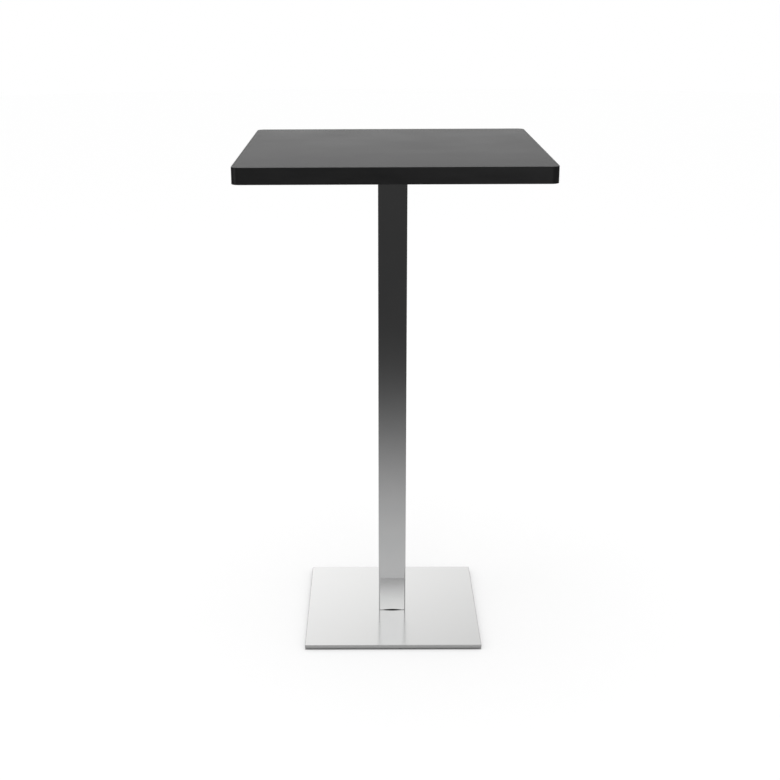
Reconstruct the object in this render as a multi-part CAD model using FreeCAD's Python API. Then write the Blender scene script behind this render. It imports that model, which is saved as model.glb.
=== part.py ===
import FreeCAD, Part

import math
import os

# Square bar-height pedestal table, in millimetres.
# The origin is on the floor under the middle of the column, +Z is up and the front faces -Y.

TABLE_HEIGHT = 1050.0

# Tabletop: a faced board with a band glued round its edges
TOP_SIDE = 600.0
TOP_CORNER_RADIUS = 15.0
BOARD_THICKNESS = 30.0
LAMINATE_THICKNESS = 0.8
EDGE_BAND_THICKNESS = 2.0
EDGE_BAND_FLAT = 1.5  # left flat beside each rounded arris

# Column: square tube that stands on its four corners, each side hollowed a little at the foot
COLUMN_SIDE = 60.0
COLUMN_WALL = 1.5
COLUMN_INNER_RADIUS = 1.5
COLUMN_FOOT_BEARING = 6.0
COLUMN_FOOT_RELIEF = 1.2

# Sockets: square caps inside both ends of the column
SOCKET_FIT = 0.3
SOCKET_LENGTH = 40.0
SOCKET_WALL = 3.0
SOCKET_END = 5.0
SOCKET_ACCESS_MARGIN = 4.0

# Tie rod down the column, with a washer and a nut at each end
ROD_DIAMETER = 10.0
ROD_PROJECTION = 4.0
ROD_HOLE_CLEARANCE = 0.3
NUT_HEIGHT = 8.0
NUT_WALL = 3.5
NUT_THREAD_CLEARANCE = 0.05
WASHER_THICKNESS = 2.0
WASHER_RING = 5.0

# Spider: four-arm plate under the top, its arm sides folded down into flanges that taper to the tips
SPIDER_SHEET = 3.0
SPIDER_REACH = 170.0
SPIDER_TIP_RADIUS = 16.0
SPIDER_HUB_MARGIN = 8.0
SPIDER_CROTCH_RADIUS = 22.0
SPIDER_ARMS = 4
SPIDER_FIRST_ARM = 45.0
FLANGE_INNER_BEND = 1.5
FLANGE_HUB_DEPTH = 24.0
FLANGE_TIP_DEPTH = 10.0
FLANGE_END_GAP = 3.0
FLANGE_CLIP = 3.0  # taken off each lower corner

# Wood screws, two on each arm: a round hole near the column and a slot at the tip
SCREW_DIAMETER = 5.0
SCREW_HEAD_DIAMETER = 10.0
SCREW_HEAD_HEIGHT = 2.8
SCREW_COVER = 8.0  # board left above the screw
SCREW_HOLE_CLEARANCE = 0.4
SCREW_SLOT_PLAY = 4.0
SCREW_HUB_MARGIN = 32.0

# Base: folded sheet cover over a ballast plate
BASE_SIDE = 380.0
COVER_SHEET = 1.2
COVER_BEND_RADIUS = 1.5
COVER_CORNER_RADIUS = 3.0
COVER_FLOOR_GAP = 3.0
BALLAST_THICKNESS = 6.0
BALLAST_CLEARANCE = 0.4

# Levelling glides: a six-sided nylon foot moulded on the end of a threaded stud
GLIDE_INSET = 40.0
FOOT_ACROSS_FLATS = 30.0
FOOT_SOLE = 1.2
FOOT_GRIP = 2.1  # length of stud held in the foot
FOOT_BEVEL = 1.0
STUD_DIAMETER = 8.0
STUD_CLEARANCE = 0.05
STUD_COVER_CLEARANCE = 0.3
GLIDE_PLACES = {
    "front_left": (-1, -1),
    "front_right": (1, -1),
    "back_left": (-1, 1),
    "back_right": (1, 1),
}

# Heights, from the floor up
foot_height = FOOT_SOLE + FOOT_GRIP
ballast_top = foot_height + BALLAST_THICKNESS
base_top = ballast_top + COVER_SHEET
top_underside = TABLE_HEIGHT - BOARD_THICKNESS - 2 * LAMINATE_THICKNESS
web_underside = top_underside - SPIDER_SHEET

# Sizes that follow from the fits
core_side = TOP_SIDE - 2 * EDGE_BAND_THICKNESS
core_radius = TOP_CORNER_RADIUS - EDGE_BAND_THICKNESS
column_bore = COLUMN_SIDE - 2 * COLUMN_WALL
socket_side = column_bore - 2 * SOCKET_FIT
socket_bore = socket_side - 2 * SOCKET_WALL
access_radius = socket_bore / 2 - SOCKET_ACCESS_MARGIN
rod_hole_radius = ROD_DIAMETER / 2 + ROD_HOLE_CLEARANCE
hub_distance = COLUMN_SIDE / 2 + SPIDER_HUB_MARGIN
tip_centre = SPIDER_REACH - SPIDER_TIP_RADIUS
inner_screw_ring = COLUMN_SIDE * math.sqrt(0.5) + SCREW_HUB_MARGIN
glide_offset = BASE_SIDE / 2 - GLIDE_INSET
stud_hole_radius = STUD_DIAMETER / 2 + STUD_CLEARANCE

UP = FreeCAD.Vector(0, 0, 1)
AXIS = FreeCAD.Vector(0, 0, 0)
SAME_LEVEL = 1e-6


def point(x, y, z=0.0):
    return FreeCAD.Vector(x, y, z)


def line(start, end):
    return Part.makeLine(start, end)


def arc(start, middle, end):
    return Part.Arc(start, middle, end).toShape()


def turned_copies(edges, count, first_angle=0.0):
    """A closed wire made of the same edges repeated round the table's axis."""
    copies = []
    for index in range(count):
        angle = first_angle + index * 360.0 / count
        copies += [edge.rotated(AXIS, UP, angle) for edge in edges]
    return Part.Wire(copies)


def rounded_square(side, radius, height):
    """A square face with round corners, centred on the axis."""
    half = side / 2
    straight = half - radius
    bulge = straight + radius * math.sqrt(0.5)
    corner_start = point(half, straight, height)
    quarter = [
        line(point(half, -straight, height), corner_start),
        arc(corner_start, point(bulge, bulge, height), point(straight, half, height)),
    ]
    return Part.Face(turned_copies(quarter, 4))


def plate(side, radius, bottom, top):
    """A square plate with round corners between two heights."""
    return rounded_square(side, radius, bottom).extrude(UP * (top - bottom))


def cylinder(radius, bottom, top):
    return Part.makeCylinder(radius, top - bottom, UP * bottom)


def closed_polygon(corners):
    return Part.Wire([line(a, b) for a, b in zip(corners, corners[1:] + corners[:1])])


def hexagon(across_flats, height):
    """A closed six-sided outline, centred on the axis."""
    corner = point(across_flats / 2 / math.cos(math.pi / 6), 0, height)
    turns = [FreeCAD.Rotation(UP, index * 60) for index in range(6)]
    return closed_polygon([turn.multVec(corner) for turn in turns])


def rounded_level_edges(solid, height, radius):
    """The solid with every edge that lies at one height rounded."""
    edges = []
    for edge in solid.Edges:
        if all(abs(vertex.Z - height) < SAME_LEVEL for vertex in edge.Vertexes):
            edges.append(edge)
    return solid.makeFillet(radius, edges)


def on_arms(solid, distance=0.0):
    """Copies of a solid made for an arm along +X, one on each spider arm at a distance from the axis."""
    moved = solid.translated(point(distance, 0))
    angles = [SPIDER_FIRST_ARM + arm * 360.0 / SPIDER_ARMS for arm in range(SPIDER_ARMS)]
    return [moved.rotated(AXIS, UP, angle) for angle in angles]


def make_top_laminate():
    return plate(core_side, core_radius, TABLE_HEIGHT - LAMINATE_THICKNESS, TABLE_HEIGHT)


def make_top_core():
    bottom = top_underside + LAMINATE_THICKNESS
    return plate(core_side, core_radius, bottom, TABLE_HEIGHT - LAMINATE_THICKNESS)


def make_backing_laminate():
    return plate(core_side, core_radius, top_underside, top_underside + LAMINATE_THICKNESS)


def make_edge_band():
    arris = EDGE_BAND_THICKNESS - EDGE_BAND_FLAT
    block = plate(TOP_SIDE, TOP_CORNER_RADIUS, top_underside, TABLE_HEIGHT)
    for height in (top_underside, TABLE_HEIGHT):
        block = rounded_level_edges(block, height, arris)
    return block.cut(plate(core_side, core_radius, top_underside, TABLE_HEIGHT))


def spider_arm():
    """One arm drawn along +X: the ends of its left side, the middle of the crotch there, the side's angle."""
    half_pitch = math.pi / SPIDER_ARMS
    between_arms = point(math.cos(half_pitch), math.sin(half_pitch))
    corner = between_arms * hub_distance
    to_tip = point(tip_centre, 0) - corner
    side_angle = math.asin(SPIDER_TIP_RADIUS / to_tip.Length) + math.atan2(to_tip.y, to_tip.x)
    outward = point(-math.sin(side_angle), math.cos(side_angle))
    crotch_centre = corner + between_arms * (SPIDER_CROTCH_RADIUS / math.sin(half_pitch - side_angle))
    hub_end = crotch_centre - outward * SPIDER_CROTCH_RADIUS
    tip_end = point(tip_centre, 0) + outward * SPIDER_TIP_RADIUS
    crotch_middle = crotch_centre - between_arms * SPIDER_CROTCH_RADIUS
    return hub_end, tip_end, crotch_middle, math.degrees(side_angle)


def make_spider_web():
    """The flat of the spider: straight arm sides that run tangent into round tips and crotches."""
    hub_end, tip_end, crotch_middle, _ = spider_arm()
    tip_start = point(tip_end.x, -tip_end.y)
    side_start = point(hub_end.x, -hub_end.y)
    next_side = FreeCAD.Rotation(UP, 360.0 / SPIDER_ARMS).multVec(side_start)
    arm = [
        line(side_start, tip_start),
        arc(tip_start, point(SPIDER_REACH, 0), tip_end),
        line(tip_end, hub_end),
        arc(hub_end, crotch_middle, next_side),
    ]
    outline = Part.Face(turned_copies(arm, SPIDER_ARMS, SPIDER_FIRST_ARM))
    return outline.translated(UP * web_underside).extrude(UP * SPIDER_SHEET)


def bend_arc(radius, start_x):
    """A quarter bend across +X that starts level at y = 0 and ends upright."""
    axis_drop = FLANGE_INNER_BEND + SPIDER_SHEET
    half_way = radius * math.sqrt(0.5)
    return arc(
        point(start_x, 0, radius - axis_drop),
        point(start_x, half_way, half_way - axis_drop),
        point(start_x, radius, -axis_drop),
    )


def make_flange():
    """The folded left side of one arm, deepest beside the column, with clipped lower corners."""
    hub_end, tip_end, _, side_angle = spider_arm()
    start = FLANGE_END_GAP
    end = (tip_end - hub_end).Length - FLANGE_END_GAP
    inner = FLANGE_INNER_BEND
    outer = inner + SPIDER_SHEET
    section = [
        bend_arc(outer, start),
        line(point(start, outer, -outer), point(start, outer, -FLANGE_HUB_DEPTH)),
        line(point(start, outer, -FLANGE_HUB_DEPTH), point(start, inner, -FLANGE_HUB_DEPTH)),
        line(point(start, inner, -FLANGE_HUB_DEPTH), point(start, inner, -outer)),
        bend_arc(inner, start),
        line(point(start, 0, -SPIDER_SHEET), point(start, 0, 0)),
    ]
    strip = Part.Face(Part.Wire(section)).extrude(point(end - start, 0))
    side_view = [
        point(end, 0, 0),
        point(start, 0, 0),
        point(start, 0, FLANGE_CLIP - FLANGE_HUB_DEPTH),
        point(start + FLANGE_CLIP, 0, -FLANGE_HUB_DEPTH),
        point(end - FLANGE_CLIP, 0, -FLANGE_TIP_DEPTH),
        point(end, 0, FLANGE_CLIP - FLANGE_TIP_DEPTH),
    ]
    flange = strip.common(Part.Face(closed_polygon(side_view)).extrude(point(0, outer)))
    return flange.rotated(AXIS, UP, side_angle).translated(hub_end + UP * top_underside)


def spider_holes():
    """Round screw holes near the column, slots at the arm tips and the way in to the upper nut."""
    radius = SCREW_DIAMETER / 2 + SCREW_HOLE_CLEARANCE
    hole = cylinder(radius, web_underside, top_underside)
    half_play = SCREW_SLOT_PLAY / 2
    slot_corner = point(-half_play, -radius, web_underside)
    slot = Part.makeBox(SCREW_SLOT_PLAY, 2 * radius, SPIDER_SHEET, slot_corner)
    slot = slot.fuse([hole.translated(point(side * half_play, 0)) for side in (-1, 1)])
    access = cylinder(access_radius, web_underside, top_underside)
    return on_arms(hole, inner_screw_ring) + on_arms(slot, tip_centre) + [access]


def make_spider_plate():
    left_flange = make_flange()
    right_flange = left_flange.mirror(AXIS, point(0, 1))
    folded = make_spider_web().fuse(on_arms(left_flange) + on_arms(right_flange))
    return folded.cut(spider_holes())


def make_top_screws():
    """Round-headed wood screws, each made on the axis with its head below the spider."""
    shank = cylinder(SCREW_DIAMETER / 2, web_underside, TABLE_HEIGHT - SCREW_COVER)
    screw = shank.fuse(cylinder(SCREW_HEAD_DIAMETER / 2, web_underside - SCREW_HEAD_HEIGHT, web_underside))
    return Part.makeCompound(on_arms(screw, inner_screw_ring) + on_arms(screw, tip_centre))


def make_column_tube():
    outer_radius = COLUMN_INNER_RADIUS + COLUMN_WALL
    tube = plate(COLUMN_SIDE, outer_radius, base_top, web_underside)
    tube = tube.cut(plate(column_bore, COLUMN_INNER_RADIUS, base_top, web_underside))
    half_span = COLUMN_SIDE / 2 - COLUMN_FOOT_BEARING
    front = -COLUMN_SIDE / 2
    ends = [point(side * half_span, front, base_top) for side in (-1, 1)]
    hollow = [
        arc(ends[0], point(0, front, base_top + COLUMN_FOOT_RELIEF), ends[1]),
        line(ends[1], ends[0]),
    ]
    through = Part.Face(Part.Wire(hollow)).extrude(point(0, COLUMN_SIDE, 0))
    return tube.cut([through, through.rotated(AXIS, UP, 90)])


def make_socket(mouth, direction):
    """A square cap with its open mouth at one height and its closed end up or down the column."""
    cap = plate(socket_side, COLUMN_INNER_RADIUS, 0, SOCKET_LENGTH)
    bore_corner = point(-socket_bore / 2, -socket_bore / 2)
    bore = Part.makeBox(socket_bore, socket_bore, SOCKET_LENGTH - SOCKET_END, bore_corner)
    cap = cap.cut([bore, cylinder(rod_hole_radius, 0, SOCKET_LENGTH)])
    if direction < 0:
        cap = cap.rotated(AXIS, point(1, 0), 180)
    return cap.translated(UP * mouth)


def nut_seats():
    """The inner face of each socket's end, where a washer bears, and the way from there to its nut."""
    depth = SOCKET_LENGTH - SOCKET_END
    return (ballast_top + depth, -1), (web_underside - depth, 1)


def between(start, step):
    """The lower and upper height of a piece that starts at one height and is one step long."""
    return min(start, start + step), max(start, start + step)


def make_rod_washers():
    washers = []
    for seat, direction in nut_seats():
        bottom, top = between(seat, direction * WASHER_THICKNESS)
        ring = cylinder(rod_hole_radius + WASHER_RING, bottom, top)
        washers.append(ring.cut(cylinder(rod_hole_radius, bottom, top)))
    return Part.makeCompound(washers)


def make_rod_nuts():
    """Hexagon nuts, each seated on its washer."""
    nuts = []
    for seat, direction in nut_seats():
        bottom, top = between(seat + direction * WASHER_THICKNESS, direction * NUT_HEIGHT)
        nut = Part.Face(hexagon(ROD_DIAMETER + 2 * NUT_WALL, bottom)).extrude(UP * NUT_HEIGHT)
        nuts.append(nut.cut(cylinder(ROD_DIAMETER / 2 + NUT_THREAD_CLEARANCE, bottom, top)))
    return Part.makeCompound(nuts)


def make_tie_rod():
    beyond_seat = WASHER_THICKNESS + NUT_HEIGHT + ROD_PROJECTION
    bottom, top = [seat + direction * beyond_seat for seat, direction in nut_seats()]
    return cylinder(ROD_DIAMETER / 2, bottom, top)


def make_base_cover():
    outside = plate(BASE_SIDE, COVER_CORNER_RADIUS, COVER_FLOOR_GAP, base_top)
    outside = rounded_level_edges(outside, base_top, COVER_BEND_RADIUS)
    inner_side = BASE_SIDE - 2 * COVER_SHEET
    inside = plate(inner_side, COVER_CORNER_RADIUS - COVER_SHEET, COVER_FLOOR_GAP, ballast_top)
    opening = plate(column_bore, COLUMN_INNER_RADIUS, ballast_top, base_top)
    return outside.cut([inside, opening])


def make_ballast_plate():
    inset = COVER_SHEET + BALLAST_CLEARANCE
    slab = plate(BASE_SIDE - 2 * inset, COVER_CORNER_RADIUS - inset, foot_height, ballast_top)
    tapped = cylinder(stud_hole_radius, foot_height, ballast_top)
    holes = [tapped.translated(spot) for spot in glide_spots().values()]
    return slab.cut(holes + [cylinder(access_radius, foot_height, ballast_top)])


def glide_spots():
    """Where each glide stands under the base, by place."""
    return {place: point(x, y) * glide_offset for place, (x, y) in GLIDE_PLACES.items()}


def make_glide_stud():
    """One stud on the axis, from inside its foot up into the ballast plate."""
    return cylinder(STUD_DIAMETER / 2, FOOT_SOLE, ballast_top - STUD_COVER_CLEARANCE)


def make_glide_foot():
    """One foot on the axis: a six-sided pad with a bevelled toe and a blind hole for its stud."""
    outlines = [
        hexagon(FOOT_ACROSS_FLATS - 2 * FOOT_BEVEL, 0),
        hexagon(FOOT_ACROSS_FLATS, FOOT_BEVEL),
        hexagon(FOOT_ACROSS_FLATS, foot_height),
    ]
    pad = Part.makeLoft(outlines, True, True)
    return pad.cut(cylinder(stud_hole_radius, FOOT_SOLE, foot_height))


def make_nodes():
    """Every piece of the table, by name."""
    nodes = {
        "top_laminate": make_top_laminate(),
        "top_core": make_top_core(),
        "backing_laminate": make_backing_laminate(),
        "edge_band": make_edge_band(),
        "spider_plate": make_spider_plate(),
        "top_screws": make_top_screws(),
        "spider_socket": make_socket(web_underside, -1),
        "column_tube": make_column_tube(),
        "tie_rod": make_tie_rod(),
        "rod_washers": make_rod_washers(),
        "rod_nuts": make_rod_nuts(),
        "base_socket": make_socket(ballast_top, 1),
        "base_cover": make_base_cover(),
        "ballast_plate": make_ballast_plate(),
    }
    stud = make_glide_stud()
    foot = make_glide_foot()
    for place, spot in glide_spots().items():
        nodes["glide_stud_" + place] = stud.translated(spot)
        nodes["glide_foot_" + place] = foot.translated(spot)
    return nodes


os.makedirs("parts", exist_ok=True)
for name, shape in make_nodes().items():
    shape.exportStep("parts/" + name + ".step")
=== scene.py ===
import math

import bmesh
import bpy
from mathutils import Matrix, Vector


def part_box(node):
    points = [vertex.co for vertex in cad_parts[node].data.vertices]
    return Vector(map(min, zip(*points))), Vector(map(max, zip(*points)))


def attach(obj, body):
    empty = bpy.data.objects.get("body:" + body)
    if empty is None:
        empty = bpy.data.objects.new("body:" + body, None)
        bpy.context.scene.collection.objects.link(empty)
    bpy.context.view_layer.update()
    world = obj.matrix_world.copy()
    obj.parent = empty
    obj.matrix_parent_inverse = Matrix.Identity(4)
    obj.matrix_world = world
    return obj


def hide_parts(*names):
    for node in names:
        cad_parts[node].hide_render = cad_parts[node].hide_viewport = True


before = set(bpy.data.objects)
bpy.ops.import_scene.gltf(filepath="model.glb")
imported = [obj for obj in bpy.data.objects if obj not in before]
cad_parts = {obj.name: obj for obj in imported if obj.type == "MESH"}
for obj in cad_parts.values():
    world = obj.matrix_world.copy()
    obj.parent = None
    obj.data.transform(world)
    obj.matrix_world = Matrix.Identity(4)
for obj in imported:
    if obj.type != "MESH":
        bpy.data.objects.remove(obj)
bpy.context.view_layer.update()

# Ballast plate and base socket: a square of 6 mm steel plate that keeps the table standing, and the square
# socket welded on its middle that locates the column. Sawn, deburred and then painted flat black together.

MM = 0.001
PLATE_EASE = 0.6 * MM
SOCKET_EASE = 0.4 * MM
EASE_STEPS = 2
CRISP_ANGLE = math.radians(30)
FLAT_ANGLE = math.radians(0.5)
SAME_POINT = 0.001 * MM
PATTERN_RANGE = (0.3, 0.7)
PAINT_DARK = (0.016, 0.016, 0.017, 1)
PAINT_LIGHT = (0.034, 0.034, 0.035, 1)
PAINT_STROKE = 2.5 * MM
PAINT_DRAG = (1, 8, 1)
PAINT_SHEEN = (0.5, 0.68)
PAINT_SHEEN_PATCH = 18 * MM
PAINT_RELIEF = 0.03 * MM


def new_finish(name, metallic=0.0):
    """A material, with its node tree and its surface shader."""
    finish = bpy.data.materials.new(name)
    finish.use_nodes = True
    shader = finish.node_tree.nodes["Principled BSDF"]
    shader.inputs["Metallic"].default_value = metallic
    return finish, finish.node_tree, shader


def grain(tree, size, stretch=(1, 1, 1), detail=3.0, coordinates="Object"):
    """A noise pattern fixed to the piece: the width of its grains, drawn out along each axis."""
    place = tree.nodes.new("ShaderNodeTexCoord")
    scale = tree.nodes.new("ShaderNodeMapping")
    noise = tree.nodes.new("ShaderNodeTexNoise")
    scale.inputs["Scale"].default_value = [1 / (size * axis) for axis in stretch]
    noise.inputs["Scale"].default_value = 1.0
    noise.inputs["Detail"].default_value = detail
    tree.links.new(place.outputs[coordinates], scale.inputs["Vector"])
    tree.links.new(scale.outputs["Vector"], noise.inputs["Vector"])
    return noise.outputs["Fac"]


def tint(tree, shader, pattern, dark, light):
    """The surface colour, from dark to light with a pattern."""
    ramp = tree.nodes.new("ShaderNodeValToRGB")
    for stop, place, colour in zip(ramp.color_ramp.elements, PATTERN_RANGE, (dark, light)):
        stop.position = place
        stop.color = colour
    tree.links.new(pattern, ramp.inputs["Fac"])
    tree.links.new(ramp.outputs["Color"], shader.inputs["Base Color"])


def spread(tree, value, start, end, low, high):
    """A level that goes from low to high while a value goes from start to end."""
    node = tree.nodes.new("ShaderNodeMapRange")
    for socket, setting in zip(("From Min", "From Max", "To Min", "To Max"), (start, end, low, high)):
        node.inputs[socket].default_value = setting
    tree.links.new(value, node.inputs["Value"])
    return node.outputs["Result"]


def sheen(tree, shader, pattern, glossy, dull):
    """The roughness, from glossy to dull with a pattern."""
    roughness = spread(tree, pattern, *PATTERN_RANGE, glossy, dull)
    tree.links.new(roughness, shader.inputs["Roughness"])


def relief(tree, shader, pattern, height):
    """A fine raised texture of a height in metres."""
    bump = tree.nodes.new("ShaderNodeBump")
    bump.inputs["Distance"].default_value = height
    tree.links.new(pattern, bump.inputs["Height"])
    tree.links.new(bump.outputs["Normal"], shader.inputs["Normal"])


def fit(form, name, finish, body, node):
    """The mesh as a piece of the table: its finish, the body that carries it and the node it stands for."""
    bmesh.ops.recalc_face_normals(form, faces=form.faces)
    for face in form.faces:
        face.smooth = True
    mesh = bpy.data.meshes.new(name)
    form.to_mesh(mesh)
    form.free()
    mesh.materials.append(finish)
    piece = bpy.data.objects.new(name, mesh)
    bpy.context.scene.collection.objects.link(piece)
    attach(piece, body)
    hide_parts(node)
    return piece


def eased(node, name, ease, finish, body):
    """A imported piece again, with sharp edges rounded off as deburring, coating or moulding leaves them."""
    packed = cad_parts[node].data
    form = bmesh.new()
    corners = [form.verts.new(vertex.co) for vertex in packed.vertices]
    for polygon in packed.polygons:
        form.faces.new([corners[index] for index in polygon.vertices])
    bmesh.ops.remove_doubles(form, verts=form.verts, dist=SAME_POINT)
    bmesh.ops.dissolve_limit(form, angle_limit=FLAT_ANGLE, verts=form.verts, edges=form.edges)
    piece = fit(form, name, finish, body, node)
    bevel = piece.modifiers.new("eased_edges", "BEVEL")
    bevel.width = ease
    bevel.segments = EASE_STEPS
    bevel.limit_method = "ANGLE"
    bevel.angle_limit = CRISP_ANGLE
    bevel.use_clamp_overlap = False
    bevel.harden_normals = True


flat_black_paint, tree, shader = new_finish("flat_black_paint")
brush_marks = grain(tree, PAINT_STROKE, PAINT_DRAG)
tint(tree, shader, brush_marks, PAINT_DARK, PAINT_LIGHT)
sheen(tree, shader, grain(tree, PAINT_SHEEN_PATCH), *PAINT_SHEEN)
relief(tree, shader, brush_marks, PAINT_RELIEF)

eased("ballast_plate", "ballast_slab", PLATE_EASE, flat_black_paint, "table")
eased("base_socket", "base_socket_cap", SOCKET_EASE, flat_black_paint, "table")

# Levelling glides: M8 zinc-plated studs screwed up into the ballast plate, each with a six-sided black
# nylon foot moulded on its lower end. Turning a foot by hand screws its corner of the base up or down.

GLIDE_PLACES = ("front_left", "front_right", "back_left", "back_right")
STUD_PITCH = 1.25 * MM
THREAD_DEPTH_RATIO = 0.61
ROUND_STEPS = 32
STEPS_PER_PITCH = 8
FOOT_EASE = 0.3 * MM
NYLON_DARK = (0.03, 0.03, 0.031, 1)
NYLON_LIGHT = (0.044, 0.044, 0.045, 1)
NYLON_TINT_PATCH = 4 * MM
NYLON_SHEEN = (0.4, 0.55)
NYLON_SHEEN_PATCH = 1.5 * MM
NYLON_GRAIN = 0.5 * MM
NYLON_RELIEF = 0.02 * MM
ZINC_BLUE = (0.5, 0.53, 0.57, 1)
ZINC_PALE = (0.63, 0.63, 0.61, 1)
ZINC_TINT_PATCH = 5 * MM
ZINC_SHEEN = (0.26, 0.42)
ZINC_SHEEN_PATCH = 1.2 * MM
ZINC_GRAIN = 0.4 * MM
ZINC_RELIEF = 0.006 * MM


def ring(form, radii, height, centre):
    """A ring of points round an upright axis, with a radius for each."""
    step = 2 * math.pi / len(radii)
    spots = [(radius * math.cos(i * step), radius * math.sin(i * step)) for i, radius in enumerate(radii)]
    return [form.verts.new((centre.x + x, centre.y + y, height)) for x, y in spots]


def bridge(form, lower, upper):
    """Faces between two rings of equal count."""
    following = list(range(1, len(lower))) + [0]
    for i, j in enumerate(following):
        form.faces.new((lower[i], lower[j], upper[j], upper[i]))


def stack(form, rings, capped=True):
    """A skin over rings from the first to the last, with its two ends closed if it is capped."""
    for lower, upper in zip(rings, rings[1:]):
        bridge(form, lower, upper)
    if capped:
        form.faces.new(rings[0])
        form.faces.new(rings[-1])


def thread_rings(form, centre, radius, pitch, bottom, top):
    """Rings of a right-hand thread: each ring's radius goes in and out once round the axis."""
    depth = THREAD_DEPTH_RATIO * pitch
    count = math.ceil((top - bottom) / pitch * STEPS_PER_PITCH)
    rings = []
    for k in range(count + 1):
        height = bottom + (top - bottom) * k / count
        waves = [(height / pitch - i / ROUND_STEPS) % 1 for i in range(ROUND_STEPS)]
        rings.append(ring(form, [radius - depth * abs(2 * wave - 1) for wave in waves], height, centre))
    return rings


black_nylon, tree, shader = new_finish("black_nylon")
tint(tree, shader, grain(tree, NYLON_TINT_PATCH), NYLON_DARK, NYLON_LIGHT)
sheen(tree, shader, grain(tree, NYLON_SHEEN_PATCH), *NYLON_SHEEN)
relief(tree, shader, grain(tree, NYLON_GRAIN), NYLON_RELIEF)

zinc_plate, tree, shader = new_finish("zinc_plate", metallic=1.0)
tint(tree, shader, grain(tree, ZINC_TINT_PATCH), ZINC_BLUE, ZINC_PALE)
sheen(tree, shader, grain(tree, ZINC_SHEEN_PATCH), *ZINC_SHEEN)
relief(tree, shader, grain(tree, ZINC_GRAIN), ZINC_RELIEF)

for place in GLIDE_PLACES:
    low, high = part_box("glide_stud_" + place)
    stud_radius = (high.x - low.x) / 2
    stud_axis = (low + high) / 2
    form = bmesh.new()
    stack(form, thread_rings(form, stud_axis, stud_radius, STUD_PITCH, low.z, high.z))
    fit(form, "stud_" + place, zinc_plate, "stud_" + place, "glide_stud_" + place)
    eased("glide_foot_" + place, "foot_" + place, FOOT_EASE, black_nylon, "foot_" + place)

# Base cover: one sheet of brushed stainless steel, 1.2 mm thick, folded down into a rim all round, welded
# and dressed at the corners. It lies on the ballast plate, held down by the column that stands on it.

COVER_CORNER = 3 * MM
COVER_BEND = 1.5 * MM
OPENING_CORNER = 1.5 * MM
CUT_EDGE = 0.15 * MM
CORNER_STEPS = 8
BEND_STEPS = 6
FLAT_FACE_WEIGHT = 100
STEEL_DARK = (0.74, 0.74, 0.735, 1)
STEEL_LIGHT = (0.78, 0.78, 0.775, 1)
STEEL_SHEEN = (0.11, 0.15)
SCRATCH_WIDTH = 0.25 * MM
SCRATCH_STRETCH = (1, 240, 1)
SCRATCH_ANISOTROPY = 0.7


def square_loop(form, side, corner, height, inset=0, corner_steps=CORNER_STEPS, side_steps=1):
    """Points round a square with round corners, set in all round; height may follow each point."""
    half = side / 2 - inset
    radius = corner - inset
    straight = half - radius
    spots = []
    for quarter in range(4):
        turn = Matrix.Rotation(quarter * math.pi / 2, 2)
        for i in range(side_steps):
            spots.append(turn @ Vector((half, straight * (2 * i / side_steps - 1))))
        for i in range(corner_steps):
            angle = math.pi / 2 * i / corner_steps
            x = straight + radius * math.cos(angle)
            y = straight + radius * math.sin(angle)
            spots.append(turn @ Vector((x, y)))
    heights = [height(spot) if callable(height) else height for spot in spots]
    return [form.verts.new((spot.x, spot.y, level)) for spot, level in zip(spots, heights)]


def bend_steps(centre_in, centre_height, radius, start, end):
    """Insets and heights along a bend, between two angles in degrees from straight inward."""
    places = []
    for i in range(BEND_STEPS + 1):
        angle = math.radians(start + (end - start) * i / BEND_STEPS)
        places.append((centre_in + radius * math.cos(angle), centre_height + radius * math.sin(angle)))
    return places


def crisp(piece):
    """Flat faces kept flat up to their rounded edges, and true corners kept sharp."""
    piece.data.set_sharp_from_angle(angle=CRISP_ANGLE)
    weigh = piece.modifiers.new("flat_faces", "WEIGHTED_NORMAL")
    weigh.keep_sharp = True
    weigh.weight = FLAT_FACE_WEIGHT


def lay_brushing(form, top):
    """Unfolds the sheet onto its brushing, whose lines run from front to back: first across, then along."""
    layer = form.loops.layers.uv.new("brushing")
    for face in form.faces:
        face.normal_update()
        on_side = abs(face.normal.x) > max(abs(face.normal.y), abs(face.normal.z))
        on_front = abs(face.normal.y) > max(abs(face.normal.x), abs(face.normal.z))
        for corner in face.loops:
            x, y, z = corner.vert.co
            across = x + math.copysign(top - z, x) if on_side else x
            along = y + math.copysign(top - z, y) if on_front else y
            corner[layer].uv = (across, along)


brushed_steel, tree, shader = new_finish("brushed_stainless", metallic=1.0)
brush_lines = grain(tree, SCRATCH_WIDTH, SCRATCH_STRETCH, detail=2.0, coordinates="UV")
tint(tree, shader, brush_lines, STEEL_DARK, STEEL_LIGHT)
sheen(tree, shader, brush_lines, *STEEL_SHEEN)
shader.inputs["Anisotropic"].default_value = SCRATCH_ANISOTROPY
across_lines = tree.nodes.new("ShaderNodeTangent")
across_lines.direction_type = "UV_MAP"
across_lines.uv_map = "brushing"
tree.links.new(across_lines.outputs["Tangent"], shader.inputs["Tangent"])

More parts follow.
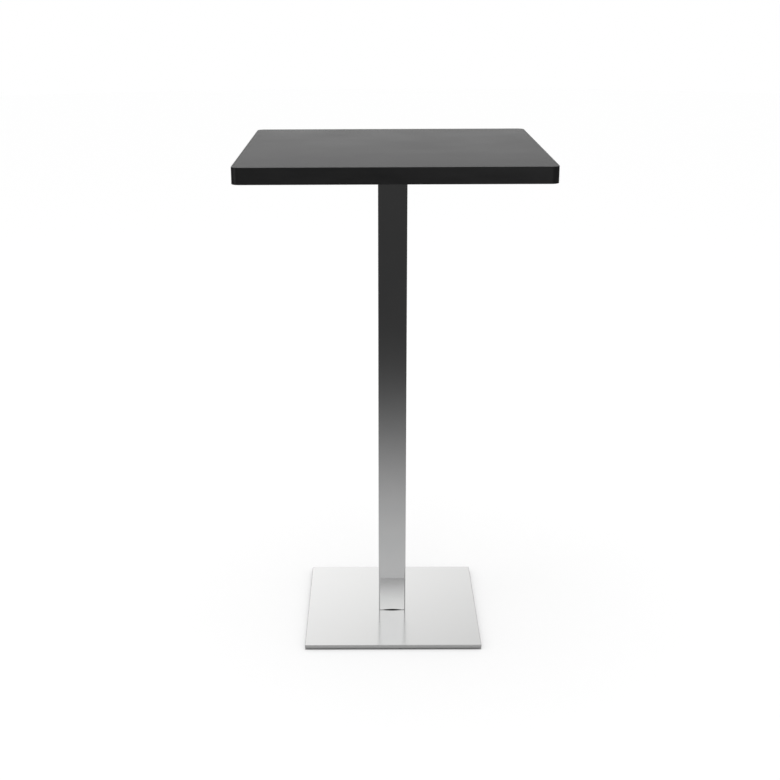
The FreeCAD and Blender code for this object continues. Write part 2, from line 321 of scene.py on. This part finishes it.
cover_low, cover_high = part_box("base_cover")
cover_side = cover_high.x - cover_low.x
sheet = cover_high.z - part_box("ballast_plate")[1].z
socket_low, socket_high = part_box("base_socket")
opening = socket_high.x - socket_low.x
bend_height = cover_high.z - COVER_BEND
outside = [(CUT_EDGE, cover_low.z), (0, cover_low.z + CUT_EDGE)]
outside += bend_steps(COVER_BEND, bend_height, COVER_BEND, 180, 90)
inside = bend_steps(COVER_BEND, bend_height, COVER_BEND - sheet, 90, 180)
inside += [(sheet, cover_low.z + CUT_EDGE), (sheet - CUT_EDGE, cover_low.z)]
form = bmesh.new()
loops = [square_loop(form, cover_side, COVER_CORNER, height, inset) for inset, height in outside]
for height in (cover_high.z, cover_high.z - sheet):
    loops.append(square_loop(form, opening, OPENING_CORNER, height))
loops += [square_loop(form, cover_side, COVER_CORNER, height, inset) for inset, height in inside]
stack(form, loops + loops[:1], capped=False)
lay_brushing(form, cover_high.z)
crisp(fit(form, "base_cover_sheet", brushed_steel, "table", "base_cover"))

# Column: a 60 mm square steel tube with a 1.5 mm wall, polished to a mirror. Its foot is sawn a little
# hollow between the corners, so that it stands on them, and the outer edge there is broken. A thin dark
# line shows under each face, widest in the middle.

TUBE_WALL = 1.5 * MM
TUBE_CORNER = 3 * MM
FACE_STEPS = 24
FOOT_BEARING = 6 * MM
FOOT_RELIEF = 1.2 * MM
HOLLOW_DEEPENING = 2
FOOT_DEBURR = 1.2 * MM
MIRROR_DARK = (0.84, 0.845, 0.85, 1)
MIRROR_LIGHT = (0.88, 0.88, 0.88, 1)
MIRROR_TINT_PATCH = 60 * MM
MIRROR_SHEEN = (0.03, 0.06)
BUFFING_WIDTH = 0.8 * MM
BUFFING_STRETCH = (1, 1, 60)

mirror_steel, tree, shader = new_finish("mirror_polished_steel", metallic=1.0)
tint(tree, shader, grain(tree, MIRROR_TINT_PATCH), MIRROR_DARK, MIRROR_LIGHT)
sheen(tree, shader, grain(tree, BUFFING_WIDTH, BUFFING_STRETCH), *MIRROR_SHEEN)

tube_low, tube_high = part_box("column_tube")
tube_side = tube_high.x - tube_low.x
hollow_half = tube_side / 2 - FOOT_BEARING


def foot_height(spot):
    """The sawn foot: level under the corners, hollowed between them."""
    along_face = min(abs(spot.x), abs(spot.y))
    share = max(0, 1 - (along_face / hollow_half) ** 2)
    return tube_low.z + FOOT_RELIEF * share ** HOLLOW_DEEPENING


def deburred_height(spot):
    """The upper end of the broken edge, which follows the hollow."""
    return foot_height(spot) + FOOT_DEBURR


wall_section = [
    (TUBE_WALL, foot_height),
    (FOOT_DEBURR, foot_height),
    (0, deburred_height),
    (0, tube_high.z),
    (TUBE_WALL, tube_high.z),
]
form = bmesh.new()
wall_loops = []
for inset, height in wall_section:
    wall_loops.append(square_loop(form, tube_side, TUBE_CORNER, height, inset, side_steps=FACE_STEPS))
stack(form, wall_loops + wall_loops[:1], capped=False)
crisp(fit(form, "column_square_tube", mirror_steel, "table", "column_tube"))

# Tie rod with its washers and nuts: a 10 mm zinc-plated rod down the middle of the column, threaded at both
# ends. Its two nuts draw the sockets together and so clamp top, column and base.

ROD_PITCH = 1.5 * MM
ROD_THREAD_LENGTH = 45 * MM
ROD_CHAMFER = 1 * MM
NUT_EASE = 0.7 * MM
WASHER_EASE = 0.2 * MM

rod_low, rod_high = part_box("tie_rod")
rod_axis = (rod_low + rod_high) / 2
rod_radius = (rod_high.x - rod_low.x) / 2
plain_radius = rod_radius - THREAD_DEPTH_RATIO * ROD_PITCH / 2
plain_low = rod_low.z + ROD_THREAD_LENGTH
plain_high = rod_high.z - ROD_THREAD_LENGTH


def rod_ring(form, radius, height):
    """A plain ring of points round the rod."""
    return ring(form, [radius] * ROUND_STEPS, height, rod_axis)


form = bmesh.new()
rod_rings = [rod_ring(form, rod_radius - ROD_CHAMFER, rod_low.z)]
rod_rings += thread_rings(form, rod_axis, rod_radius, ROD_PITCH, rod_low.z + ROD_CHAMFER, plain_low)
rod_rings += [rod_ring(form, plain_radius, height) for height in (plain_low, plain_high)]
rod_rings += thread_rings(form, rod_axis, rod_radius, ROD_PITCH, plain_high, rod_high.z - ROD_CHAMFER)
rod_rings.append(rod_ring(form, rod_radius - ROD_CHAMFER, rod_high.z))
stack(form, rod_rings)
fit(form, "threaded_tie_rod", zinc_plate, "table", "tie_rod")
eased("rod_washers", "rod_flat_washers", WASHER_EASE, zinc_plate, "table")
eased("rod_nuts", "rod_hexagon_nuts", NUT_EASE, zinc_plate, "table")

# Spider and its socket: a four-arm plate of 3 mm steel, cut, pierced and folded down along the sides of its
# arms, with the square socket welded under its middle. Both have a black powder coat baked on.

SPIDER_SHEET = 3 * MM
SPIDER_EASE = 0.5 * MM
POWDER_DARK = (0.016, 0.016, 0.017, 1)
POWDER_LIGHT = (0.024, 0.024, 0.025, 1)
POWDER_SHEEN = (0.36, 0.46)
POWDER_SHEEN_PATCH = 12 * MM
ORANGE_PEEL = 1.6 * MM
ORANGE_PEEL_RELIEF = 0.05 * MM

black_powder, tree, shader = new_finish("black_powder_coat")
orange_peel = grain(tree, ORANGE_PEEL, detail=1.0)
tint(tree, shader, orange_peel, POWDER_DARK, POWDER_LIGHT)
sheen(tree, shader, grain(tree, POWDER_SHEEN_PATCH), *POWDER_SHEEN)
relief(tree, shader, orange_peel, ORANGE_PEEL_RELIEF)

eased("spider_plate", "folded_spider", SPIDER_EASE, black_powder, "table")
eased("spider_socket", "spider_socket_cap", SOCKET_EASE, black_powder, "table")

# Top screws: eight zinc-plated wood screws with domed heads and cross recesses, driven up through the
# spider into the board, one in a round hole and one in a slot on each arm.

ARMS = 4
FIRST_ARM_DEGREES = 45
NEAR_RING = 74.43 * MM
HEAD_RADIUS = 5 * MM
HEAD_RIM = 0.7 * MM
DOME_SHARES = (0.62, 0.74, 0.85, 0.94, 1.0)
SHANK_RADIUS = 2.5 * MM
POINT_LENGTH = 6 * MM
POINT_RADIUS = 0.2 * MM
RECESS_WINGS = 4
RECESS_REACH = 2.6 * MM
RECESS_HALF_WIDTH = 0.55 * MM
RECESS_DEPTH = 1.7 * MM
RECESS_TAPER = 0.6
WING_DEGREES = 6
BETWEEN_WINGS_DEGREES = (20, 28, 36)

screws_low, screws_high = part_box("top_screws")
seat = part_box("spider_plate")[1].z - SPIDER_SHEET
head_height = seat - screws_low.z
far_ring = (screws_high.x - HEAD_RADIUS) * math.sqrt(2)
wing_step = 360 / RECESS_WINGS
wing_edge = math.degrees(math.atan2(RECESS_HALF_WIDTH, RECESS_REACH))
wing_side = [WING_DEGREES, wing_edge, *BETWEEN_WINGS_DEGREES]
wing_turns = [-wing_step / 2] + [-turn for turn in reversed(wing_side)] + [0] + wing_side
turns = [math.radians(wing * wing_step + turn) for wing in range(RECESS_WINGS) for turn in wing_turns]


def recess_edge(turn):
    """How far the cross recess reaches from the middle of the head in one direction."""
    half_step = math.radians(wing_step / 2)
    from_wing = (turn + half_step) % (2 * half_step) - half_step
    sideways = abs(math.sin(from_wing))
    side_limit = RECESS_HALF_WIDTH / sideways if sideways else math.inf
    return min(RECESS_REACH / math.cos(from_wing), side_limit)


def dome_height(radius):
    """Height of the head's domed surface, which bulges down from its rim."""
    dome = head_height - HEAD_RIM
    return seat - HEAD_RIM - dome * (1 - (radius / HEAD_RADIUS) ** 2)


def turned_ring(form, centre, radii, heights):
    """Points round a screw's axis, with a radius and a height for each."""
    points = []
    for turn, radius, height in zip(turns, radii, heights):
        spot = (centre.x + radius * math.cos(turn), centre.y + radius * math.sin(turn), height)
        points.append(form.verts.new(spot))
    return points


def screw(form, centre):
    """One wood screw on its axis: recess, dome, rim, shank and point."""
    mouth = [recess_edge(turn) for turn in turns]
    bottom = [reach * RECESS_TAPER for reach in mouth]
    rings = [
        turned_ring(form, centre, bottom, [screws_low.z + RECESS_DEPTH] * len(turns)),
        turned_ring(form, centre, mouth, [dome_height(reach) for reach in mouth]),
    ]
    profile = [(HEAD_RADIUS * share, dome_height(HEAD_RADIUS * share)) for share in DOME_SHARES]
    profile += [(HEAD_RADIUS, seat), (SHANK_RADIUS, seat)]
    profile += [(SHANK_RADIUS, screws_high.z - POINT_LENGTH), (POINT_RADIUS, screws_high.z)]
    for radius, height in profile:
        rings.append(turned_ring(form, centre, [radius] * len(turns), [height] * len(turns)))
    stack(form, rings)


form = bmesh.new()
for arm in range(ARMS):
    arm_angle = math.radians(FIRST_ARM_DEGREES + 360 / ARMS * arm)
    along_arm = Matrix.Rotation(arm_angle, 2) @ Vector((1, 0))
    for distance in (NEAR_RING, far_ring):
        screw(form, along_arm * distance)
crisp(fit(form, "wood_screws", zinc_plate, "table", "top_screws"))

# Board core and backing sheet: a 30 mm chipboard panel, closed on every side by its facings, and the thin
# black sheet pressed on its underside to balance the one on top.

CHIP_DARK = (0.2, 0.13, 0.075, 1)
CHIP_LIGHT = (0.52, 0.38, 0.24, 1)
CHIP_WIDTH = 2.5 * MM
CHIP_STRETCH = (3, 1, 0.4)
CHIP_SHEEN = (0.7, 0.9)
CHIP_RELIEF = 0.3 * MM
LAMINATE_DARK = (0.0135, 0.0135, 0.014, 1)
LAMINATE_LIGHT = (0.018, 0.018, 0.0185, 1)
LAMINATE_TINT_PATCH = 30 * MM
LAMINATE_SHEEN = (0.19, 0.23)
LAMINATE_SHEEN_PATCH = 120 * MM
LAMINATE_GRAIN = 0.6 * MM
LAMINATE_RELIEF = 0.0025 * MM

chipboard, tree, shader = new_finish("chipboard")
chips = grain(tree, CHIP_WIDTH, CHIP_STRETCH, detail=5.0)
tint(tree, shader, chips, CHIP_DARK, CHIP_LIGHT)
sheen(tree, shader, chips, *CHIP_SHEEN)
relief(tree, shader, chips, CHIP_RELIEF)

black_laminate, tree, shader = new_finish("black_laminate")
tint(tree, shader, grain(tree, LAMINATE_TINT_PATCH), LAMINATE_DARK, LAMINATE_LIGHT)
sheen(tree, shader, grain(tree, LAMINATE_SHEEN_PATCH, detail=2.0), *LAMINATE_SHEEN)
relief(tree, shader, grain(tree, LAMINATE_GRAIN, detail=1.0), LAMINATE_RELIEF)

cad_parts["top_core"].material_slots[0].material = chipboard
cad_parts["backing_laminate"].material_slots[0].material = black_laminate

# Top sheet: a 0.8 mm sheet of satin black laminate pressed on the board. Its edges are flush with the band
# and eased by a hair where the trimmer passed, which leaves the fine joint line round the top.

JOINT_EASE = 0.12 * MM
SHEET_CORNER = 13 * MM

top_low, top_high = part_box("top_laminate")
top_side = top_high.x - top_low.x
form = bmesh.new()
sheet_loops = [
    square_loop(form, top_side, SHEET_CORNER, top_low.z),
    square_loop(form, top_side, SHEET_CORNER, top_high.z - JOINT_EASE),
    square_loop(form, top_side, SHEET_CORNER, top_high.z, JOINT_EASE),
]
stack(form, sheet_loops)
crisp(fit(form, "top_sheet", black_laminate, "table", "top_laminate"))

# Edge band: a 2 mm strip of black plastic glued round the board, bent round its corners and eased by half a
# millimetre along both arrises.

BAND_THICKNESS = 2 * MM
BAND_ARRIS = 0.5 * MM
BAND_CORNER = 15 * MM
BAND_CORNER_STEPS = 12
BAND_DARK = (0.006, 0.006, 0.0063, 1)
BAND_LIGHT = (0.009, 0.009, 0.0093, 1)
BAND_TINT_PATCH = 20 * MM
BAND_TINT_STRETCH = (3, 3, 1)
BAND_SHEEN = (0.28, 0.36)
BAND_SHEEN_PATCH = 45 * MM
BAND_SHEEN_STRETCH = (2, 2, 1)
BAND_GRAIN = 0.7 * MM
BAND_GRAIN_STRETCH = (6, 6, 1)
BAND_RELIEF = 0.004 * MM

black_band, tree, shader = new_finish("black_edge_band")
tint(tree, shader, grain(tree, BAND_TINT_PATCH, BAND_TINT_STRETCH), BAND_DARK, BAND_LIGHT)
sheen(tree, shader, grain(tree, BAND_SHEEN_PATCH, BAND_SHEEN_STRETCH), *BAND_SHEEN)
relief(tree, shader, grain(tree, BAND_GRAIN, BAND_GRAIN_STRETCH, detail=1.0), BAND_RELIEF)

band_low, band_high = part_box("edge_band")
band_side = band_high.x - band_low.x
band_section = [(BAND_THICKNESS, band_low.z)]
band_section += bend_steps(BAND_ARRIS, band_low.z + BAND_ARRIS, BAND_ARRIS, 270, 180)
band_section += bend_steps(BAND_ARRIS, band_high.z - BAND_ARRIS, BAND_ARRIS, 180, 90)
band_section += [(BAND_THICKNESS, band_high.z)]
form = bmesh.new()
band_loops = []
for inset, height in band_section:
    loop = square_loop(form, band_side, BAND_CORNER, height, inset, corner_steps=BAND_CORNER_STEPS)
    band_loops.append(loop)
stack(form, band_loops + band_loops[:1], capped=False)
crisp(fit(form, "black_band", black_band, "table", "edge_band"))

# Floor: a plain pale studio floor that keeps a soft shadow of the table, with a painted shadow right under
# the base, where its colour is darker and its white lift is left off. What steel mirrors of it is a painted
# pool of light in its colour, pale beside the table and falling away to dark further out, with painted shade
# close beside the rim of the base. It is clear when seen from below, and a window in it right under the base
# lets light up to the underside.

FLOOR_RADIUS = 14.0
FLOOR_SIDES = 96
FLOOR_COLOUR = 0.98
WHITE = 1.0
SHADOW_SOFTENING = 0.35
# Painted shadow right under the base: how much darker the floor's colour is there.
PAINTED_SHADOW_UNDER_BASE = 0.4
# Painted shade in the mirrored floor colour: darker within this reach of the rim, to this share.
PAINTED_SHADE_REACH = 22 * MM
PAINTED_SHADE_BESIDE_RIM = 0.6
# A painted pool of light in the floor colour that steel mirrors: pale at the middle, dark far out.
PAINTED_POOL_MIDDLE = 0.535
PAINTED_POOL_FAR = 0.0345
PAINTED_POOL_REACH = 1.02
PAINTED_POOL_FALL = 1.9
WINDOW_HALF = 0.178


def arithmetic(tree, operation, first, second=0.0):
    """What an operation makes of one or two numbers or sockets."""
    node = tree.nodes.new("ShaderNodeMath")
    node.operation = operation
    for socket, value in zip(node.inputs, (first, second)):
        if isinstance(value, (int, float)):
            socket.default_value = value
        else:
            tree.links.new(value, socket)
    return node.outputs["Value"]


def matt(tree, colour):
    """A matt surface of a grey that a socket gives."""
    node = tree.nodes.new("ShaderNodeBsdfDiffuse")
    tree.links.new(colour, node.inputs["Color"])
    return node.outputs[0]


def glow(tree, strength, kind="ShaderNodeEmission"):
    """A white light of a strength given as a number or a socket."""
    node = tree.nodes.new(kind)
    node.inputs["Color"].default_value = (WHITE, WHITE, WHITE, 1)
    if isinstance(strength, (int, float)):
        node.inputs["Strength"].default_value = strength
    else:
        tree.links.new(strength, node.inputs["Strength"])
    return node.outputs[0]


def mixed(tree, share, first, second):
    """One shader going over into another as a share goes from 0 to 1."""
    node = tree.nodes.new("ShaderNodeMixShader")
    for source, socket in zip((share, first, second), node.inputs):
        tree.links.new(source, socket)
    return node.outputs[0]


def choose(tree, ray, otherwise, chosen):
    """One shader for a kind of ray and another for the rest."""
    path = tree.nodes.new("ShaderNodeLightPath")
    return mixed(tree, path.outputs[ray], otherwise, chosen)


floor_finish = bpy.data.materials.new("pale_floor")
floor_finish.use_nodes = True
tree = floor_finish.node_tree
tree.nodes.clear()
spot = tree.nodes.new("ShaderNodeTexCoord").outputs["Object"]
offsets = tree.nodes.new("ShaderNodeSeparateXYZ")
tree.links.new(spot, offsets.inputs[0])
sideways, lengthways = [arithmetic(tree, "ABSOLUTE", offset) for offset in offsets.outputs[:2]]
from_middle = arithmetic(tree, "MAXIMUM", sideways, lengthways)
rim = cover_side / 2

# Painted shadow: the floor's colour is darker right under the base, and the white lift is left off there.
painted_shadow_footprint = arithmetic(tree, "LESS_THAN", from_middle, rim)
shade = arithmetic(tree, "MULTIPLY", painted_shadow_footprint, PAINTED_SHADOW_UNDER_BASE)
pale = matt(tree, arithmetic(tree, "SUBTRACT", FLOOR_COLOUR, shade))
unsoftened = arithmetic(tree, "MULTIPLY", painted_shadow_footprint, SHADOW_SOFTENING)
softening = arithmetic(tree, "SUBTRACT", SHADOW_SOFTENING, unsoftened)
softened = mixed(tree, softening, pale, glow(tree, WHITE))

# Painted pool of light: the floor colour that steel mirrors is pale by the column and falls away to dark
# further out.
from_column = tree.nodes.new("ShaderNodeVectorMath")
from_column.operation = "LENGTH"
tree.links.new(spot, from_column.inputs[0])
pool_share = arithmetic(tree, "DIVIDE", from_column.outputs["Value"], PAINTED_POOL_REACH)
pool_fall = arithmetic(tree, "POWER", pool_share, PAINTED_POOL_FALL)
pool_left = arithmetic(tree, "EXPONENT", arithmetic(tree, "MULTIPLY", pool_fall, -1))
pool = arithmetic(tree, "ADD", arithmetic(tree, "MULTIPLY", pool_left, PAINTED_POOL_MIDDLE - PAINTED_POOL_FAR), PAINTED_POOL_FAR)
# Painted shade: the mirrored floor colour is darker still close beside the rim of the base.
painted_shade_beside_rim = spread(tree, from_middle, rim, rim + PAINTED_SHADE_REACH, PAINTED_SHADE_BESIDE_RIM, 1.0)
dim = matt(tree, arithmetic(tree, "MULTIPLY", pool, painted_shade_beside_rim))

mirrored = choose(tree, "Is Glossy Ray", pale, dim)
shown = choose(tree, "Is Camera Ray", mirrored, softened)
window = arithmetic(tree, "LESS_THAN", from_middle, WINDOW_HALF)
path = tree.nodes.new("ShaderNodeLightPath")
light_rays = arithmetic(tree, "MAXIMUM", path.outputs["Is Diffuse Ray"], path.outputs["Is Shadow Ray"])
from_below = tree.nodes.new("ShaderNodeNewGeometry").outputs["Backfacing"]
clear_share = arithmetic(tree, "MAXIMUM", from_below, arithmetic(tree, "MULTIPLY", window, light_rays))
clear = tree.nodes.new("ShaderNodeBsdfTransparent").outputs[0]
output = tree.nodes.new("ShaderNodeOutputMaterial")
tree.links.new(mixed(tree, clear_share, shown, clear), output.inputs["Surface"])

form = bmesh.new()
bmesh.ops.create_circle(form, cap_ends=True, segments=FLOOR_SIDES, radius=FLOOR_RADIUS)
floor_mesh = bpy.data.meshes.new("studio_floor")
form.to_mesh(floor_mesh)
form.free()
floor_mesh.materials.append(floor_finish)
floor = bpy.data.objects.new("studio_floor", floor_mesh)
bpy.context.scene.collection.objects.link(floor)

# Studio light: an even white surround and soft boxes, two of them low, for the black band to mirror. What
# steel mirrors is dim along the horizon and at both sides, and bright behind. A pair is a place from -1 to
# 1 and its level; a box is its place, aim, side in metres, power in watts, and whether pieces mirror it.

SURROUND_FILL = 1.01
GLOW_BY_HEIGHT = (
    (0.0, 0.1), (0.035, 0.8), (0.07, 0.85), (0.113, 0.465), (0.145, 0.235), (0.19, 0.13),
    (0.3, 0.3), (0.4, 1.15), (0.44, 1.11), (0.5, 0.9), (0.6, 0.76), (1.0, 0.76),
)
GLOW_ACROSS = ((-0.9, 0.5), (-0.7, 1.0), (0.7, 1.0), (0.9, 0.65))
GLOW_BY_DEPTH = ((-0.45, 0.32), (-0.1, 1.0))
GLOW_TILT = ((-0.08, 0.6), (-0.03, 1.22), (0.03, 0.78), (0.08, 0.6))
WALL_ACROSS = (
    (-0.8, 0.0), (-0.7, 0.95), (-0.42, 0.95), (-0.25, 0.0),
    (0.25, 0.0), (0.42, 0.95), (0.7, 0.95), (0.8, 0.0),
)
WALL_BY_DEPTH = ((0.3, 0.0), (0.5, 1.0))
WALL_BY_HEIGHT = ((0.15, 1.0), (0.3, 0.0))
SOFT_BOXES = {
    "box_above": (Vector((-0.3, 0.2, 3.4)), Vector((0, 0, 0.7)), 2.6, 5, False),
    "box_left": (Vector((-3.0, -0.8, 2.2)), Vector((0, 0, 0.7)), 2.0, 5, False),
    "box_front": (Vector((0, -2.75, 2.35)), Vector((0, 0, 2.35)), 2.0, 9.3, True),
    "box_low_left": (Vector((-3.4, -1.6, 1.25)), Vector((0, 0, 1.25)), 1.4, 5, True),
    "box_low_right": (Vector((0.95, -4.0, 0.87)), Vector((0.2, 0, 0.87)), 0.7, 1.3, True),
}


def levels(tree, value, stops):
    """A level read off along a value from -1 to 1."""
    ramp = tree.nodes.new("ShaderNodeValToRGB")
    elements = ramp.color_ramp.elements
    while len(elements) < len(stops):
        elements.new(1.0)
    for element, (place, level) in zip(elements, stops):
        element.position = (place + 1) / 2
        element.color = (level, level, level, 1)
    tree.links.new(spread(tree, value, -1, 1, 0, 1), ramp.inputs["Fac"])
    return ramp.outputs["Color"]


world = bpy.data.worlds.new("studio")
bpy.context.scene.world = world
world.use_nodes = True
tree = world.node_tree
tree.nodes.clear()
direction = tree.nodes.new("ShaderNodeTexCoord").outputs["Generated"]
parts = tree.nodes.new("ShaderNodeSeparateXYZ")
tree.links.new(direction, parts.inputs[0])
across, depth, height = parts.outputs
backward = arithmetic(tree, "MAXIMUM", depth, 0)
behind = arithmetic(tree, "MULTIPLY", arithmetic(tree, "POWER", height, 2), backward)
leaning = arithmetic(tree, "MULTIPLY", across, behind)
mirrored_glow = levels(tree, height, GLOW_BY_HEIGHT)
for value, stops in ((across, GLOW_ACROSS), (depth, GLOW_BY_DEPTH), (leaning, GLOW_TILT)):
    mirrored_glow = arithmetic(tree, "MULTIPLY", mirrored_glow, levels(tree, value, stops))
walls = levels(tree, across, WALL_ACROSS)
for value, stops in ((depth, WALL_BY_DEPTH), (height, WALL_BY_HEIGHT)):
    walls = arithmetic(tree, "MULTIPLY", walls, levels(tree, value, stops))
mirrored_glow = arithmetic(tree, "MAXIMUM", mirrored_glow, walls)
fill = glow(tree, SURROUND_FILL, "ShaderNodeBackground")
mirrored = choose(tree, "Is Glossy Ray", fill, glow(tree, mirrored_glow, "ShaderNodeBackground"))
shown = choose(tree, "Is Camera Ray", mirrored, glow(tree, WHITE, "ShaderNodeBackground"))
output = tree.nodes.new("ShaderNodeOutputWorld")
tree.links.new(shown, output.inputs["Surface"])

for name, (place, aim, side, power, is_mirrored) in SOFT_BOXES.items():
    lamp = bpy.data.lights.new(name, "AREA")
    lamp.shape = "SQUARE"
    lamp.size = side
    lamp.energy = power
    box = bpy.data.objects.new(name, lamp)
    box.location = place
    box.rotation_euler = (aim - place).to_track_quat("-Z", "Y").to_euler()
    box.visible_glossy = is_mirrored
    box.visible_camera = False
    bpy.context.scene.collection.objects.link(box)

# Camera: at the photograph's place, a little above the top, looking down at the whole table. The photograph
# is cropped a little off its own middle, so the lens is shifted by that much. Its angles are in radians.

CAMERA_PLACE = Vector((-41.05, -2599.89, 1380.37)) * MM
CAMERA_PITCH = 0.31772
CAMERA_YAW = -0.00443
CAMERA_ROLL = -0.00457
CAMERA_LENS = 58.26
CAMERA_SENSOR = 36
CAMERA_SHIFT = (0.0282, 0.0007)

lens = bpy.data.cameras.new("photo_camera")
lens.sensor_width = CAMERA_SENSOR
lens.lens = CAMERA_LENS
lens.shift_x, lens.shift_y = CAMERA_SHIFT
camera = bpy.data.objects.new("photo_camera", lens)
aimed = Matrix.Rotation(-CAMERA_YAW, 4, "Z") @ Matrix.Rotation(math.pi / 2 - CAMERA_PITCH, 4, "X")
camera.matrix_world = Matrix.Translation(CAMERA_PLACE) @ aimed @ Matrix.Rotation(CAMERA_ROLL, 4, "Z")
bpy.context.scene.collection.objects.link(camera)
bpy.context.scene.camera = camera
bpy.context.scene.view_settings.view_transform = "Standard"

# Last, the scene is brought up to date.

bpy.context.view_layer.update()
